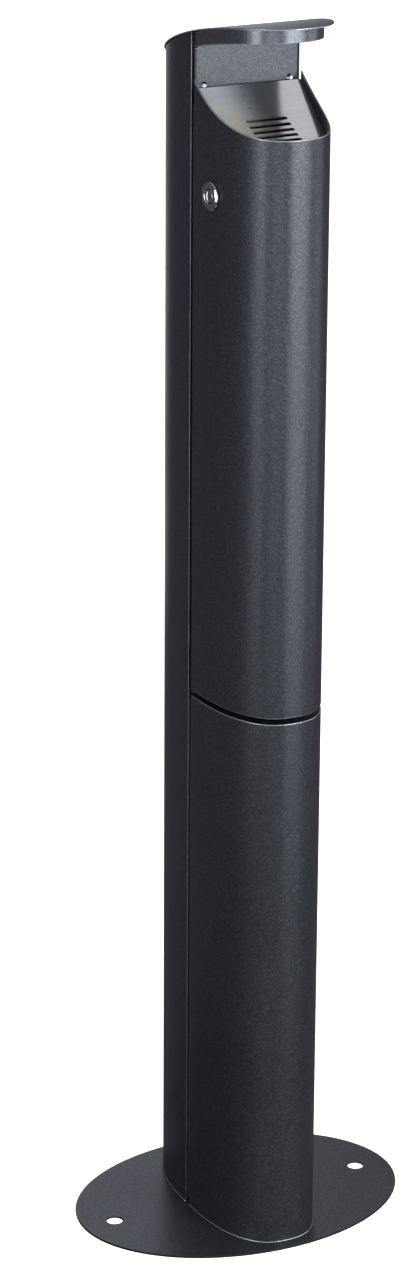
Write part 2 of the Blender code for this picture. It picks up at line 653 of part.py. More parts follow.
def bucket_outline():
    """Wide and nearly square at the rear, rounded like the door in front."""
    count = 24
    points = []
    for step in range(2 * count):
        angle = math.pi * step / count
        power, depth = (SECTION_POWER, BUCKET_FRONT) if math.sin(angle) < 0 else (5.0, BUCKET_REAR)
        points.append((BUCKET_HALF_WIDTH * signed_power(math.cos(angle), 2 / power),
                       BUCKET_MIDDLE_Y + depth * signed_power(math.sin(angle), 2 / power)))
    return points


def bucket():
    outline = bucket_outline()
    bottom = DOOR_FLOOR_Z + SHEET + GAP
    bm = bmesh.new()
    bmesh.ops.create_circle(bm, cap_ends=True, segments=len(outline), radius=1)
    verts = sorted(bm.verts, key=lambda vert: math.atan2(vert.co.y, vert.co.x) % math.tau)
    for vert, (x, y) in zip(verts, outline):
        vert.co = (x, y, bottom)
    raised = bmesh.ops.extrude_edge_only(bm, edges=bm.edges)["geom"]
    for vert in (item for item in raised if isinstance(item, bmesh.types.BMVert)):
        vert.co.z = BUCKET_TOP
    bmesh.ops.recalc_face_normals(bm, faces=bm.faces)
    if next(face for face in bm.faces if len(face.verts) > 4).normal.z > 0:
        bmesh.ops.reverse_faces(bm, faces=bm.faces)
    made = add_object("ash_bucket", mesh_from(bm, "ash_bucket"), ZINC)
    thicken(made, BUCKET_SHEET)
    reach = COLUMN_WIDTH / 2
    cut(made, cylinder("handle_cut", HANDLE_WIRE + 0.0005, (-reach, HANDLE_PIVOT_Y, HANDLE_PIVOT_Z),
                       (reach, HANDLE_PIVOT_Y, HANDLE_PIVOT_Z), None, 16))


def bucket_handle():
    """A half-round wire whose ends turn inwards through the bucket's walls; it rests on the rim."""
    rest = math.radians(HANDLE_REST_DEG)
    bend = math.radians(4)
    path = [(-0.027, 0.0), (-HANDLE_RADIUS + 0.0008, 0.0)]
    arc_steps = 20
    for step in range(arc_steps + 1):
        angle = bend + (math.pi - 2 * bend) * step / arc_steps
        path.append((-HANDLE_RADIUS * math.cos(angle), HANDLE_RADIUS * math.sin(angle)))
    path += [(HANDLE_RADIUS - 0.0008, 0.0), (0.027, 0.0)]
    curve = bpy.data.curves.new("bucket_handle", "CURVE")
    curve.dimensions = "3D"
    curve.bevel_depth = HANDLE_WIRE
    curve.bevel_resolution = 2
    curve.use_fill_caps = True
    spline = curve.splines.new("POLY")
    spline.points.add(len(path) - 1)
    for point, (x, along) in zip(spline.points, path):
        point.co = (x, -along * math.cos(rest), along * math.sin(rest), 1)
    add_object("bucket_handle", curve, STEEL, Matrix.Translation((0, HANDLE_PIVOT_Y, HANDLE_PIVOT_Z)))


def build():
    base_plate()
    column_foot()
    column_walls()
    mid_shelf()
    joint_strips()
    rivet_cuts = edge_angles()
    lid()
    back_panel()
    frame = lock_frame()
    door_shell(frame)
    door_floor()
    ashtray_insert()
    hinges()
    door_buffers()
    lock(frame)
    keeper(rivet_cuts)
    bucket()
    bucket_handle()


for old in list(bpy.data.objects):
    bpy.data.objects.remove(old)
PARTS = collection("column_ashtray_bin")
CUTTERS = collection("cutters")
build()
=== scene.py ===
"""Visual model of the column ashtray bin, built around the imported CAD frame.

Metres, +Z up, the door faces -Y.
"""

import math

import bmesh
import bpy
from mathutils import Matrix, Vector


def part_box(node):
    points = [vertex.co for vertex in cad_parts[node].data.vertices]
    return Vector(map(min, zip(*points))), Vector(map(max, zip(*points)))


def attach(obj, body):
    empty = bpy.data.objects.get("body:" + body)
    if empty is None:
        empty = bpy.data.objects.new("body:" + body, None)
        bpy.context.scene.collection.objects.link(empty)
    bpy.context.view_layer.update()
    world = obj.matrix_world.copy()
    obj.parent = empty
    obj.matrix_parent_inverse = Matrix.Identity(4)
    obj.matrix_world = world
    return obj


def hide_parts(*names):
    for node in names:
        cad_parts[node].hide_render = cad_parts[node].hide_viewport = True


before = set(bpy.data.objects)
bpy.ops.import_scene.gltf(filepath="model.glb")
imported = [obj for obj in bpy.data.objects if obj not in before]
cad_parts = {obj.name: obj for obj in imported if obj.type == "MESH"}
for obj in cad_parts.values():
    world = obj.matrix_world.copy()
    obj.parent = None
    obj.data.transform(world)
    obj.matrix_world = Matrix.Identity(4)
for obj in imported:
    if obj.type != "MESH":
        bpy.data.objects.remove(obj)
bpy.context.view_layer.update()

# The column's plan is a superellipse; its size comes from the CAD boxes
SECTION_POWER = 2.47
HALF_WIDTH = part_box("rear_shell")[1].x
HALF_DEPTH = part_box("rear_shell")[1].y
SHELL_EDGE_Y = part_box("rear_shell")[0].y
FRONT_EDGE_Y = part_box("door_shell")[1].y
SHEET = 0.0015
GAP = 0.0003
WALL_STEPS = 150
RIM_STEPS = 150

# Lid, mouth and insert: circles in the Y-Z plane
LID_CREST = (-0.1118, 0.9992)
LID_RADIUS = 0.444
LID_SHEET = 0.0012
SKIRT_DROP = 0.0117
SKIRT_START_Y = -0.0001
MOUTH_NOSE_Z = 0.9167
MOUTH_RADIUS = 0.145
INSERT_ARC = (-0.1173, 0.8978)
INSERT_RADIUS = 0.171
INSERT_SHEET = 0.0012
INSERT_FRONT_Y = -0.062
INSERT_FLANGE_LOW_Z = 0.919

SLOT_COUNT = 5
SLOT_FIRST_Y = -0.0327
SLOT_PITCH = 0.00605
SLOT_LENGTH = 0.0350
SLOT_WIDTH = 0.0036

# Foot plate: two open anchor holes, and four bolts countersunk from below
ANCHOR_X, ANCHOR_RADIUS = 0.1130, 0.0067
BOLT_X, BOLT_Y = 0.024, 0.045

LOCK_Y, LOCK_Z = -0.0306, 0.8656
LOCK_BORE_RADIUS = 0.0083
BUCKET_PIVOT = (0, -0.044, 0.808)

# Edges: an edge counts as sharp from this many degrees on
SHARP_DEGREES = 40
SEAM_ROUNDING = 0.00068
SLIT_ROUNDING = 0.0012
LOWER_TOP_ROUNDING = 0.0005
SLOT_ROUNDING = 0.0003
PANEL_ROUNDING = 0.0002
WIRE_ROUNDING = 0.0003
PLATE_RIM_RADIUS = 0.0006
LID_RIM_RADIUS = 0.0005
PLATE_FLATNESS = 0.94
LID_FLATNESS = 0.72
KEPT_ROUNDING = 0.0002
KEPT_WELD = 0.00001

# The coat's fillet where the column meets the foot plate, as shares of its height and of its reach
FILLET_REACH = 0.0007
FILLET_HEIGHT = 0.0009
FILLET_CURVE = ((0.0, 1.0), (0.25, 0.52), (0.5, 0.22), (0.75, 0.05), (1.0, 0.0))
ABOVE_FILLET = 0.01

COAT_TINT = (0.945, 1.0, 1.09)

# Light colours, the overhead sun, and the dim room that lights the part but that the camera doesn't see
COOL = (0.93, 1.0, 1.04)
REAR_COOL = (0.90, 0.97, 1.06)
OVERHEAD_ENERGY = 1.35
ROOM_COLOUR = (1.12, 0.90, 1.26, 1)
ROOM_STRENGTH = 0.10

CAMERA_AT = (-1.32256, -2.58865, 1.53599)
CAMERA_AZIMUTH, CAMERA_ELEVATION, CAMERA_ROLL = (math.radians(d) for d in (26.405, 19.7255, 0.3252))
CAMERA_LENS, CAMERA_SENSOR = 109.077, 36.0


# ---------------------------------------------------------------- materials


def node(tree, kind, inputs=None, **settings):
    made = tree.nodes.new(kind)
    for key, value in settings.items():
        setattr(made, key, value)
    for key, value in (inputs or {}).items():
        if isinstance(value, bpy.types.NodeSocket):
            tree.links.new(value, made.inputs[key])
        else:
            made.inputs[key].default_value = value
    return made


def new_material(name, **plain):
    made = bpy.data.materials.new(name)
    made.use_nodes = True
    shader = made.node_tree.nodes["Principled BSDF"]
    for key, value in plain.items():
        shader.inputs[key.replace("_", " ")].default_value = value
    return made, made.node_tree, shader


def place(tree, scale=(1, 1, 1)):
    """Object coordinates, which are metres in the frame, stretched by scale."""
    coordinates = node(tree, "ShaderNodeTexCoord").outputs["Object"]
    return node(tree, "ShaderNodeVectorMath", {0: coordinates, 1: scale}, operation="MULTIPLY").outputs[0]


def noise(tree, where, scale, detail=2.0, rough=0.5):
    inputs = {"Vector": where, "Scale": scale, "Detail": detail, "Roughness": rough}
    return node(tree, "ShaderNodeTexNoise", inputs).outputs["Fac"]


def remap(tree, value, low, high, new_low, new_high):
    inputs = {"Value": value, "From Min": low, "From Max": high, "To Min": new_low, "To Max": new_high}
    return node(tree, "ShaderNodeMapRange", inputs).outputs["Result"]


def maths(tree, operation, first, second):
    return node(tree, "ShaderNodeMath", {0: first, 1: second}, operation=operation).outputs[0]


def mix_colour(tree, share, first, second):
    made = node(tree, "ShaderNodeMix", data_type="RGBA")
    for socket, value in ((made.inputs[0], share), (made.inputs[6], first), (made.inputs[7], second)):
        if isinstance(value, bpy.types.NodeSocket):
            tree.links.new(value, socket)
        else:
            socket.default_value = value
    return made.outputs[2]


def bump(tree, shader, height, distance, strength=1.0):
    made = node(tree, "ShaderNodeBump", {"Height": height, "Distance": distance, "Strength": strength})
    tree.links.new(made.outputs["Normal"], shader.inputs["Normal"])


def grey(value, tint=(1.0, 1.0, 1.0)):
    return (value * tint[0], value * tint[1], value * tint[2], 1.0)


def powder_coat(name, dark, light, roughness, metallic=0.75):
    """Metallic powder coat between two greys: fine flakes, orange peel and slightly uneven gloss."""
    made, tree, shader = new_material(name, Metallic=metallic, Specular_IOR_Level=0.5)
    where = place(tree)
    grain = noise(tree, where, 1050, 3.0, 0.65)
    cells = node(tree, "ShaderNodeTexVoronoi", {"Vector": where, "Scale": 1250.0}).outputs["Color"]
    spark = node(tree, "ShaderNodeSeparateColor", {"Color": cells}).outputs[0]
    spark = remap(tree, spark, 0.62, 1.0, 0.0, 0.65)
    share = maths(tree, "ADD", remap(tree, grain, 0.32, 0.70, 0.0, 0.45), spark)
    colour = mix_colour(tree, share, grey(dark, COAT_TINT), grey(light, COAT_TINT))
    tree.links.new(colour, shader.inputs["Base Color"])
    clouds = remap(tree, noise(tree, where, 9, 2.0), 0.3, 0.7, -0.03, 0.03)
    uneven = maths(tree, "ADD", clouds, remap(tree, grain, 0.3, 0.7, -0.05, 0.05))
    tree.links.new(maths(tree, "ADD", uneven, roughness), shader.inputs["Roughness"])
    peel = maths(tree, "ADD", noise(tree, where, 780, 2.0), maths(tree, "MULTIPLY", spark, 0.35))
    bump(tree, shader, peel, 0.00006)
    return made


def brushed_steel(name, colour, roughness, scale, streak=0.10):
    """Stainless sheet with fine grinding lines; scale is small along the lines and large across them."""
    made, tree, shader = new_material(name, Metallic=1.0)
    lines = noise(tree, place(tree, scale), 1.0, 4.0, 0.7)
    broad = noise(tree, place(tree, tuple(s / 9 for s in scale)), 1.0, 2.0)
    both = maths(tree, "ADD", maths(tree, "MULTIPLY", lines, 0.6), maths(tree, "MULTIPLY", broad, 0.4))
    share = remap(tree, both, 0.35, 0.65, 0.0, 1.0)
    dull = tuple(c * (1 - 2 * streak) for c in colour[:3]) + (1.0,)
    tree.links.new(mix_colour(tree, share, dull, colour), shader.inputs["Base Color"])
    smears = remap(tree, noise(tree, place(tree), 35, 3.0), 0.4, 0.8, 0.0, 0.05)
    uneven = maths(tree, "ADD", remap(tree, lines, 0.3, 0.7, -0.06, 0.06), smears)
    tree.links.new(maths(tree, "ADD", uneven, roughness), shader.inputs["Roughness"])
    bump(tree, shader, lines, 0.00001)
    return made


def tray_steel(name):
    """Brushed stainless for the tray: lines run from side to side, and towards -X the tray is painted lighter,
    duller and less metallic, standing for light on that side.
    """
    made, tree, shader = new_material(name)
    lines = noise(tree, place(tree, (90, 4200, 4200)), 1.0, 4.0, 0.7)
    broad = noise(tree, place(tree, (14, 500, 500)), 1.0, 2.0)
    both = maths(tree, "ADD", maths(tree, "MULTIPLY", lines, 0.6), maths(tree, "MULTIPLY", broad, 0.4))
    streaks = remap(tree, both, 0.35, 0.65, 0.0, 1.0)
    metal = mix_colour(tree, streaks, grey(0.56, (0.97, 1.0, 1.04)), grey(0.67, (0.98, 1.0, 1.03)))
    # Painted light: towards -X a light, dull grey, cream at the front and blue at the rear, takes over from
    # the metal
    painted_light_noise = remap(tree, noise(tree, place(tree, (70, 160, 160)), 1.0, 3.0), 0.3, 0.7, -0.35, 0.35)
    axes = node(tree, "ShaderNodeSeparateXYZ", {"Vector": place(tree)}).outputs
    painted_light_tone = maths(tree, "ADD", remap(tree, axes["Y"], -0.040, 0.005, 0.0, 1.0), painted_light_noise)
    painted_light_tint = mix_colour(tree, painted_light_tone, grey(0.72, (1.10, 1.03, 0.80)), grey(0.64, (0.90, 1.0, 1.10)))
    edge = maths(tree, "ADD", axes["X"], remap(tree, both, 0.3, 0.7, -0.004, 0.004))
    painted_light_fade = {"Value": edge, "From Min": -0.034, "From Max": 0.006, "To Min": 1.0, "To Max": 0.13}
    share = node(tree, "ShaderNodeMapRange", painted_light_fade, interpolation_type="SMOOTHSTEP").outputs["Result"]
    tree.links.new(mix_colour(tree, share, metal, painted_light_tint), shader.inputs["Base Color"])
    tree.links.new(remap(tree, share, 0.0, 1.0, 1.0, 0.35), shader.inputs["Metallic"])
    rough = remap(tree, share, 0.0, 1.0, 0.11, 0.50)
    uneven = remap(tree, lines, 0.3, 0.7, -0.03, 0.03)
    tree.links.new(maths(tree, "ADD", rough, uneven), shader.inputs["Roughness"])
    bump(tree, shader, lines, 0.000006)
    return made


def galvanised(name):
    """Zinc-coated sheet: a spangle of flat crystals about 6 mm across, with fine dull grain."""
    made, tree, shader = new_material(name, Metallic=1.0)
    where = place(tree)
    warp = node(tree, "ShaderNodeTexNoise", {"Vector": where, "Scale": 260.0}).outputs["Color"]
    warp = node(tree, "ShaderNodeVectorMath", {0: warp, 1: (0.004,) * 3}, operation="MULTIPLY").outputs[0]
    bent = node(tree, "ShaderNodeVectorMath", {0: where, 1: warp}, operation="ADD").outputs[0]
    cells = node(tree, "ShaderNodeTexVoronoi", {"Vector": bent, "Scale": 170.0}).outputs["Color"]
    crystal = node(tree, "ShaderNodeSeparateColor", {"Color": cells})
    colour = mix_colour(tree, crystal.outputs[0], grey(0.34, (0.96, 1.0, 1.05)), grey(0.52, (0.97, 1.0, 1.03)))
    tree.links.new(colour, shader.inputs["Base Color"])
    grain = noise(tree, where, 900, 3.0, 0.6)
    rough = remap(tree, crystal.outputs[1], 0, 1, 0.36, 0.52)
    uneven = remap(tree, grain, 0.3, 0.7, -0.04, 0.04)
    tree.links.new(maths(tree, "ADD", rough, uneven), shader.inputs["Roughness"])
    bump(tree, shader, maths(tree, "ADD", grain, crystal.outputs[2]), 0.00002)
    return made


def plated(name, colour, roughness, scratch=0.05):
    """Bright plated metal with faint hairline scratches in two directions."""
    made, tree, shader = new_material(name, Metallic=1.0)
    first = noise(tree, place(tree, (2600, 2600, 160)), 1.0, 3.0)
    second = noise(tree, place(tree, (240, 300, 3400)), 1.0, 3.0)
    hair = maths(tree, "MAXIMUM", first, second)
    share = remap(tree, hair, 0.55, 0.80, 0.0, 1.0)
    dull = tuple(c * 0.82 for c in colour[:3]) + (1.0,)
    tree.links.new(mix_colour(tree, share, colour, dull), shader.inputs["Base Color"])
    tree.links.new(remap(tree, hair, 0.45, 0.8, roughness, roughness + scratch), shader.inputs["Roughness"])
    bump(tree, shader, hair, 0.000004)
    return made


def rubber(name):
    made, tree, shader = new_material(name, Specular_IOR_Level=0.35)
    where = place(tree)
    grain = noise(tree, where, 1500, 4.0, 0.7)
    bloom = noise(tree, where, 160, 2.0)
    colour = mix_colour(tree, remap(tree, bloom, 0.4, 0.75, 0, 0.6), grey(0.016), grey(0.045))
    tree.links.new(colour, shader.inputs["Base Color"])
    tree.links.new(remap(tree, grain, 0.3, 0.7, 0.72, 0.92), shader.inputs["Roughness"])
    bump(tree, shader, grain, 0.00005)
    return made


# Powder coats take two greys and a roughness, plated metals a colour, a roughness and how much scratches add
MATERIALS = {
    "coat": powder_coat("anthracite_powder_coat", 0.040, 0.115, 0.37),
    # The lid's skirt: the same coat painted lighter, standing for the light it catches, and also glossier
    "coat_lid_painted_light": powder_coat("powder_coat_on_lid_painted_lighter", 0.092, 0.195, 0.30),
    # Painted shade: a near-black coat for the foot plate's rim, which lies in shade by the ground
    "coat_ground_painted_shade": powder_coat("powder_coat_painted_shade_at_ground", 0.008, 0.022, 0.5, metallic=0.6),
    # Painted highlight: a near-white coat on the left slit edge of the rear shell
    "coat_slit_painted_highlight": powder_coat("powder_coat_painted_highlight_on_slit_edge", 0.80, 0.92, 0.45),
    # Painted light: a much lighter coat on rounded edges and rims, the column's foot and the joint strips,
    # standing for the highlights they catch
    "coat_edge_painted_light": powder_coat("powder_coat_on_edges_painted_light", 0.38, 0.56, 0.36, metallic=0.9),
    "stainless": tray_steel("brushed_stainless"),
    "stainless_edge": brushed_steel("stainless_cut_edge", (0.78, 0.78, 0.77, 1), 0.22, (900, 900, 900), 0.05),
    "zinc": galvanised("galvanised_sheet"),
    "chrome": plated("polished_chrome", (0.54, 0.60, 0.60, 1), 0.07),
    "plated": plated("zinc_plated_steel", (0.66, 0.66, 0.62, 1), 0.24, 0.12),
    "screw": plated("darkened_screw_head", (0.30, 0.31, 0.32, 1), 0.22, 0.10),
    "rubber": rubber("black_rubber"),
}


# ---------------------------------------------------------------- mesh helpers


def signed_power(value, exponent):
    return math.copysign(abs(value) ** exponent, value)


def section_angle(y, half_depth):
    ratio = min(1.0, abs(y) / half_depth)
    return math.copysign(math.asin(ratio ** (SECTION_POWER / 2)), y)


def section_point(angle, half_width, half_depth, power=SECTION_POWER):
    return (half_width * signed_power(math.cos(angle), 2 / power),
            half_depth * signed_power(math.sin(angle), 2 / power))


def half_section(edge_y, half_width=HALF_WIDTH, half_depth=HALF_DEPTH, steps=WALL_STEPS):
    """The outline's points beyond edge_y, counter-clockwise from above: the front where it is negative."""
    side = -1 if edge_y < 0 else 1
    start = abs(section_angle(edge_y, half_depth))
    points = []
    for step in range(steps + 1):
        x, y = section_point(start + (math.pi - 2 * start) * step / steps, half_width, half_depth)
        points.append(Vector((side * x, side * y)))
    return points


def arc_height(y, centre_y, radius):
    return radius - math.sqrt(radius ** 2 - (y - centre_y) ** 2)


def lid_underside(y):
    return LID_CREST[1] - arc_height(y, LID_CREST[0], LID_RADIUS)


def mouth_edge(y):
    return MOUTH_NOSE_Z + arc_height(y, -HALF_DEPTH, MOUTH_RADIUS)


def insert_surface(y):
    return INSERT_ARC[1] + arc_height(y, INSERT_ARC[0], INSERT_RADIUS)


def outward(points, index):
    before, after = points[max(index - 1, 0)], points[min(index + 1, len(points) - 1)]
    along = (after - before).normalized()
    return Vector((along.y, -along.x))


def strip(bm, first, second):
    for index in range(len(first) - 1):
        bm.faces.new((first[index], first[index + 1], second[index + 1], second[index]))


def loop_strip(bm, first, second):
    strip(bm, first + first[:1], second + second[:1])


def round_slit_edges(bm, width):
    """Rounds a wall's outer upright edges at the slits; the left one takes the third material, a near-white
    painted highlight, and the right one the second, a lighter painted highlight.
    """
    for side, material in ((-1, 2), (1, 1)):
        upright = [e for e in bm.edges if e.is_manifold and e.calc_face_angle() > math.radians(SHARP_DEGREES)
                   and abs((e.verts[0].co - e.verts[1].co).normalized().z) > 0.9
                   and side * e.verts[0].co.x > HALF_WIDTH - SHEET / 2]
        bmesh.ops.bevel(bm, geom=upright, offset=width, segments=6, profile=0.5, affect="EDGES",
                        clamp_overlap=True, material=material)


def round_edges(bm, width, segments=3, least_degrees=SHARP_DEGREES, above=-1.0):
    """Rounds every sharp edge above a height; the new faces take the piece's second material."""
    sharp = [e for e in bm.edges if e.is_manifold and e.calc_face_angle() > math.radians(least_degrees)
             and min(v.co.z for v in e.verts) > above]
    bmesh.ops.bevel(bm, geom=sharp, offset=width, segments=segments, profile=0.5, affect="EDGES",
                    clamp_overlap=True, material=1)


def weigh_normals(piece):
    weighted = piece.modifiers.new("even_shading", "WEIGHTED_NORMAL")
    weighted.weight = 80


def make_piece(bm, node_name, body, *looks, matrix=None):
    """A piece that stands for one CAD node."""
    bmesh.ops.recalc_face_normals(bm, faces=bm.faces)
    mesh = bpy.data.meshes.new(node_name + "_detail")
    bm.to_mesh(mesh)
    bm.free()
    mesh.shade_smooth()
    for look in looks:
        mesh.materials.append(MATERIALS[look])
    piece = bpy.data.objects.new(node_name + "_detail", mesh)
    bpy.context.scene.collection.objects.link(piece)
    piece.matrix_world = matrix or Matrix.Identity(4)
    weigh_normals(piece)
    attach(piece, body)
    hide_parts(node_name)
    return piece


def tool_object(bm):
    mesh = bpy.data.meshes.new("tool")
    bmesh.ops.recalc_face_normals(bm, faces=bm.faces)
    bm.to_mesh(mesh)
    bm.free()
    return bpy.data.objects.new("tool", mesh)


def carve(bm, tools):
    """The solid in bm less the tools, each of them a bmesh. Gives a new bmesh."""
    work = tool_object(bm)
    cutters = [tool_object(tool) for tool in tools]
    for made in [work] + cutters:
        bpy.context.scene.collection.objects.link(made)
    for cutter in cutters:
        boolean = work.modifiers.new("cut", "BOOLEAN")
        boolean.object = cutter
        boolean.solver = "EXACT"
    bpy.context.view_layer.update()
    result = bpy.data.meshes.new_from_object(work.evaluated_get(bpy.context.evaluated_depsgraph_get()))
    carved = bmesh.new()
    carved.from_mesh(result)
    for made in [work] + cutters:
        mesh = made.data
        bpy.data.objects.remove(made)
        bpy.data.meshes.remove(mesh)
    bpy.data.meshes.remove(result)
    bmesh.ops.dissolve_degenerate(carved, dist=1e-7, edges=carved.edges)
    return carved


def turned_bm(profile, steps=64, closed=False):
    """A (radius, height) profile turned about Z; points at radius 0 become one vertex."""
    bm = bmesh.new()
    rings = []
    for radius, height in profile:
        if radius == 0:
            rings.append([bm.verts.new((0, 0, height))] * steps)
            continue
        angles = [math.tau * k / steps for k in range(steps)]
        rings.append([bm.verts.new((radius * math.cos(a), radius * math.sin(a), height)) for a in angles])
    for first, second in zip(rings, rings[1:] + (rings[:1] if closed else [])):
        for k in range(steps):
            corners = [first[k], first[(k + 1) % steps], second[(k + 1) % steps], second[k]]
            unique = list(dict.fromkeys(corners))
            if len(unique) > 2:
                bm.faces.new(unique)
    return bm


def cylinder_bm(radius, low, high, steps=64):
    return turned_bm([(0, low), (radius, low), (radius, high), (0, high)], steps)


def rounded(profile, radius, steps=4):
    """The (radius, height) profile with each inner corner rounded."""
    points = [Vector(p) for p in profile]
    result = [tuple(points[0])]
    for before, corner, after in zip(points, points[1:], points[2:]):
        reach = min(radius, (before - corner).length * 0.45, (after - corner).length * 0.45)
        start = corner + (before - corner).normalized() * reach
        end = corner + (after - corner).normalized() * reach
        for step in range(steps + 1):
            t = step / steps
            result.append(tuple(start * (1 - t) ** 2 + corner * 2 * t * (1 - t) + end * t ** 2))
    return result + [tuple(points[-1])]


def prism_bm(outline, low, high):
    bm = bmesh.new()
    bottom = [bm.verts.new((x, y, low)) for x, y in outline]
    top = [bm.verts.new((x, y, high)) for x, y in outline]
    bm.faces.new(bottom)
    bm.faces.new(top)
    loop_strip(bm, bottom, top)
    return bm


def moved(bm, matrix):
    bmesh.ops.transform(bm, matrix=matrix, verts=bm.verts)
    return bm


def facing(x, y, z, degrees):
    return Matrix.Translation((x, y, z)) @ Matrix.Rotation(math.radians(degrees), 4, "X")


def centre_of(name):
    return (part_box(name)[0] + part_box(name)[1]) / 2


# ---------------------------------------------------------------- sheet pieces


def sheet_wall(points, low, high, foot=0.0):
    """A sheet standing along a plan outline. foot is the reach of the coat's fillet at its bottom edge."""
    bm = bmesh.new()
    rows = FILLET_CURVE if foot else [(0.0, 0.0)]
    outer = []
    for share, reach in rows:
        row = []
        for index, point in enumerate(points):
            plan = point + outward(points, index) * foot * reach
            row.append(bm.verts.new((*plan, low(point.y) + FILLET_HEIGHT * share)))
        outer.append(row)
    outer.append([bm.verts.new((*p, high(p.y))) for p in points])
    inner = [p - outward(points, i) * SHEET for i, p in enumerate(points)]
    inner_high = [bm.verts.new((*q, high(p.y))) for q, p in zip(inner, points)]
    inner_low = [bm.verts.new((*q, low(p.y))) for q, p in zip(inner, points)]
    section = outer + [inner_high, inner_low]
    # The lower half of the fillet takes the second material, a lighter coat that paints a highlight along the
    # column's foot
    for index, (first, second) in enumerate(zip(section, section[1:] + section[:1])):
        before = len(bm.faces)
        strip(bm, first, second)
        if index < (len(rows) - 1) / 2:
            bm.faces.ensure_lookup_table()
            for face in bm.faces[before:]:
                face.material_index = 1
    for end in (0, -1):
        bm.faces.new([row[end] for row in section])
    bmesh.ops.recalc_face_normals(bm, faces=bm.faces)
    return bm


def drape(half_width, half_depth, count, levels, height, power=SECTION_POWER):
    """A plate with this plan, lofted through (inset, rise) levels from its underside to its top."""
    bm = bmesh.new()
    loops = []
    for inset, rise in levels:
        right = []
        for step in range(count + 1):
            angle = -math.pi / 2 + math.pi * step / count
            x, y = section_point(angle, half_width - inset, half_depth - inset, power)
            right.append((0.0 if step in (0, count) else x, y))
        ring = right + [(-x, y) for x, y in reversed(right[1:-1])]
        loops.append([bm.verts.new((x, y, height(y) + rise)) for x, y in ring])
    for first, second in zip(loops, loops[1:]):
        loop_strip(bm, first, second)
    for loop in (loops[0], loops[-1]):
        for step in range(count):
            corners = [loop[step], loop[step + 1], loop[(2 * count - step - 1) % (2 * count)],
                       loop[(2 * count - step) % (2 * count)]]
            bm.faces.new(list(dict.fromkeys(corners)))
    return bm


def quarter_round(radius, steps=5):
    """(inset, rise) pairs from a flat underside round to an upright side."""
    angles = [math.pi / 2 * k / steps for k in range(steps + 1)]
    return [(radius * (1 - math.sin(a)), radius * (1 - math.cos(a))) for a in angles]


def rim_levels(thickness, radius):
    """(inset, rise) pairs round a sheet's rounded rim, from underside to top."""
    quarter = quarter_round(radius)
    return quarter + [(inset, thickness - rise) for inset, rise in reversed(quarter)]


def paint_rim(bm, flatness):
    """Gives the second material to the faces whose normal is less upright than flatness."""
    bm.normal_update()
    for face in bm.faces:
        if abs(face.normal.z) < flatness:
            face.material_index = 1


def base_plate():
    low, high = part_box("base_plate")
    levels = rim_levels(high.z - low.z, PLATE_RIM_RADIUS)
    bm = drape(high.x, high.y, RIM_STEPS, levels, lambda y: 0.0, power=2.0)
    # The rim's faces take the second material, a near-black coat that paints shade on the plate's edge
    paint_rim(bm, PLATE_FLATNESS)
    # (radius, height) profiles, carried past both faces of the plate
    flare = [(0, 0.010), (ANCHOR_RADIUS + 0.0075, 0.010), (ANCHOR_RADIUS, high.z - 0.0004),
             (ANCHOR_RADIUS, 0.0004), (ANCHOR_RADIUS + 0.005, -0.005), (0, -0.005)]
    countersink = [(0, 0.01), (0.0028, 0.01), (0.0028, 0.0024), (0.0052, 0), (0.0052, -0.002), (0, -0.002)]
    tools = [moved(turned_bm(flare), Matrix.Translation((x, 0, 0))) for x in (-ANCHOR_X, ANCHOR_X)]
    tools += [moved(turned_bm(countersink), Matrix.Translation((x, y, 0))) for x in (-BOLT_X, BOLT_X)
              for y in (-BOLT_Y, BOLT_Y)]
    make_piece(carve(bm, tools), "base_plate", "column", "coat", "coat_ground_painted_shade")


def column_walls():
    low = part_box("rear_shell")[0].z
    bm = sheet_wall(half_section(SHELL_EDGE_Y), lambda y: low, lambda y: lid_underside(y) - GAP, FILLET_REACH)
    round_slit_edges(bm, SLIT_ROUNDING)
    make_piece(bm, "rear_shell", "column", "coat", "coat_edge_painted_light", "coat_slit_painted_highlight")
    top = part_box("lower_front_panel")[1].z
    bm = sheet_wall(half_section(FRONT_EDGE_Y), lambda y: low, lambda y: top, FILLET_REACH)
    # The fillet's short edges would hold back the rounding of every other edge
    round_edges(bm, LOWER_TOP_ROUNDING, above=low + ABOVE_FILLET)
    make_piece(bm, "lower_front_panel", "column", "coat", "coat_edge_painted_light")


def lid():
    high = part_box("lid_plate")[1]
    bm = drape(high.x, high.y, RIM_STEPS, rim_levels(LID_SHEET, LID_RIM_RADIUS), lid_underside)
    paint_rim(bm, LID_FLATNESS)
    make_piece(bm, "lid_plate", "column", "coat", "coat_edge_painted_light")
    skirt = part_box("lid_skirt")
    points = half_section(SKIRT_START_Y, skirt[1].x, -skirt[0].y)
    # Straight leads carry the skirt's ends back to its rear edge
    lead = 6
    ends = [Vector((0.0, skirt[1].y * (lead - k) / lead)) for k in range(lead)]
    points = ([Vector((-skirt[1].x, e.y)) for e in ends] + points
              + [Vector((skirt[1].x, e.y)) for e in reversed(ends)])
    bm = sheet_wall(points, lambda y: lid_underside(y) - SKIRT_DROP, lambda y: lid_underside(y) - GAP)
    round_edges(bm, SEAM_ROUNDING)
    make_piece(bm, "lid_skirt", "column", "coat_lid_painted_light", "coat_edge_painted_light")


